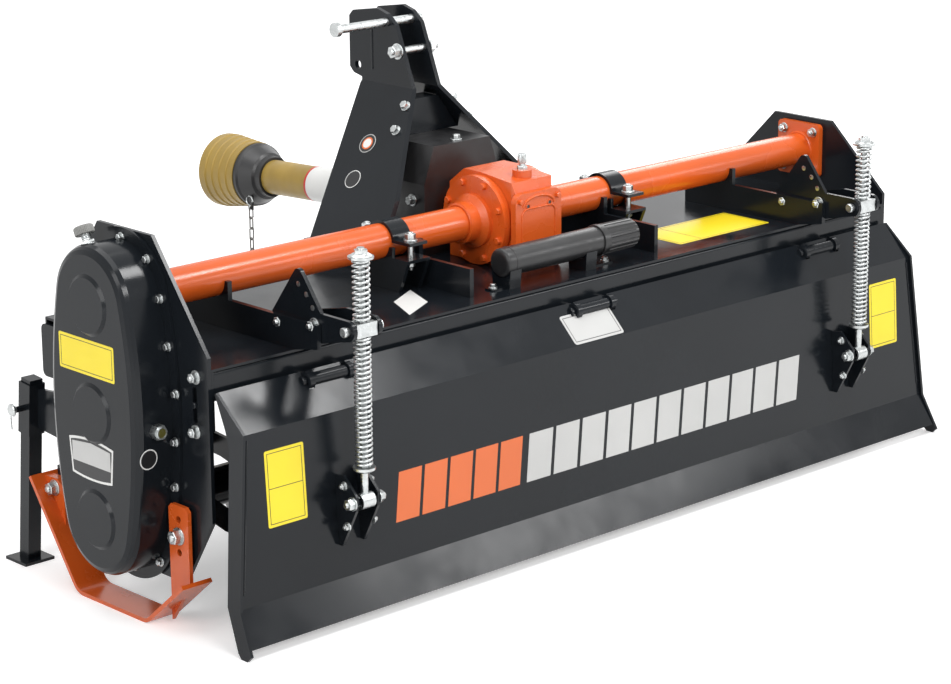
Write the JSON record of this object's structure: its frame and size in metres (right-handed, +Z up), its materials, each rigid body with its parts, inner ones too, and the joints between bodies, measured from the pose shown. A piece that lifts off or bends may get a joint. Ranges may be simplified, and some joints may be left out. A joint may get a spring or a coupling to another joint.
{
  "type": "rotavator",
  "caption": "Tractor-mounted rotavator: tined rotor under a hood, side chain case, three-point mast, spring-loaded hinged tailboard, skids, parking stand and guarded drive shaft.",
  "frame": {"origin": "on the ground under the middle of the machine's footprint", "axes": "+X right seen from behind, along the machine's width, +Y forward to the tractor, +Z up"},
  "size_m": [2.0304, 1.297, 0.988],
  "materials": {
    "black_paint": "gloss charcoal powder coat",
    "black_plastic": "black plastic",
    "dark_steel": "oiled dark steel",
    "guard_plastic": "yellow plastic guard",
    "orange_paint": "gloss orange paint",
    "tine_steel": "black painted spring steel",
    "zinc": "bright zinc plate"
  },
  "bodies": {
    "frame": {"hood": "black_paint", "rear_rail": "black_paint", "side_plate_left": "black_paint", "side_plate_right": "black_paint", "chain_case": "black_paint", "filler_cap": "black_plastic", "sight_glass": "zinc", "cross_tube": "orange_paint", "tube_flange": "orange_paint", "gearbox": "orange_paint", "gearbox_hubs": "orange_paint", "front_beam": "black_paint", "lower_hitch": "black_paint", "mast": "black_paint", "top_link_pin": "zinc", "mast_web": "black_paint", "pto_shield": "black_plastic", "tube_ribs": "black_paint", "tube_clamps": "black_paint", "canister": "black_plastic", "skid_left": "orange_paint", "skid_right": "orange_paint", "stand_sleeve": "black_paint", "rotor_hub": "black_paint", "hinge_lugs": "black_paint", "rod_arms": "black_paint", "pto_guard": "guard_plastic", "pto_shaft": "dark_steel", "guard_collar": "black_plastic", "guard_chain": "dark_steel"},
    "stand": {"stand_leg": "black_paint"},
    "rotor": {"rotor_shaft": "black_paint", "tines": "tine_steel"},
    "tailboard": {"tailboard": "black_paint", "tail_ends": "black_paint", "rod_clevises": "black_paint"},
    "trunnion_left": {"trunnion_left": "zinc", "spring_upper_left": "zinc"},
    "trunnion_right": {"trunnion_right": "zinc", "spring_upper_right": "zinc"},
    "rod_left": {"rod_left": "zinc", "spring_lower_left": "zinc"},
    "rod_right": {"rod_right": "zinc", "spring_lower_right": "zinc"}
  },
  "joints": [
    {"name": "rotor_spin", "type": "hinge", "parent": "frame", "child": "rotor", "pos_m": [0.02125, -0.2525, 0.19], "axis": [1, 0, 0], "continuous": true},
    {"name": "stand_slide", "type": "slide", "parent": "frame", "child": "stand", "axis": [0, -0.0958, 0.9954], "range_m": [0, 0.15]},
    {"name": "tailboard_hinge", "type": "hinge", "parent": "frame", "child": "tailboard", "pos_m": [0.02125, -0.5145, 0.452], "axis": [-1, 0, 0], "range_deg": [0, 35]},
    {"name": "trunnion_left_turn", "type": "hinge", "parent": "frame", "child": "trunnion_left", "pos_m": [-0.67875, -0.6245, 0.564], "axis": [-1, 0, 0], "range_deg": [0, 25]},
    {"name": "rod_left_slide", "type": "slide", "parent": "trunnion_left", "child": "rod_left", "axis": [0, 0, 1], "range_m": [0, 0.078], "deforming": ["spring_lower_left"]},
    {"name": "trunnion_right_turn", "type": "hinge", "parent": "frame", "child": "trunnion_right", "pos_m": [0.72125, -0.6245, 0.564], "axis": [-1, 0, 0], "range_deg": [0, 25]},
    {"name": "rod_right_slide", "type": "slide", "parent": "trunnion_right", "child": "rod_right", "axis": [0, 0, 1], "range_m": [0, 0.078], "deforming": ["spring_lower_right"]}
  ],
  "couplings": [
    {"joint": "trunnion_left_turn", "follows": "tailboard_hinge", "ratio": 0.695},
    {"joint": "rod_left_slide", "follows": "tailboard_hinge", "m_per_rad": 0.126},
    {"joint": "trunnion_right_turn", "follows": "tailboard_hinge", "ratio": 0.695},
    {"joint": "rod_right_slide", "follows": "tailboard_hinge", "m_per_rad": 0.126}
  ]
}
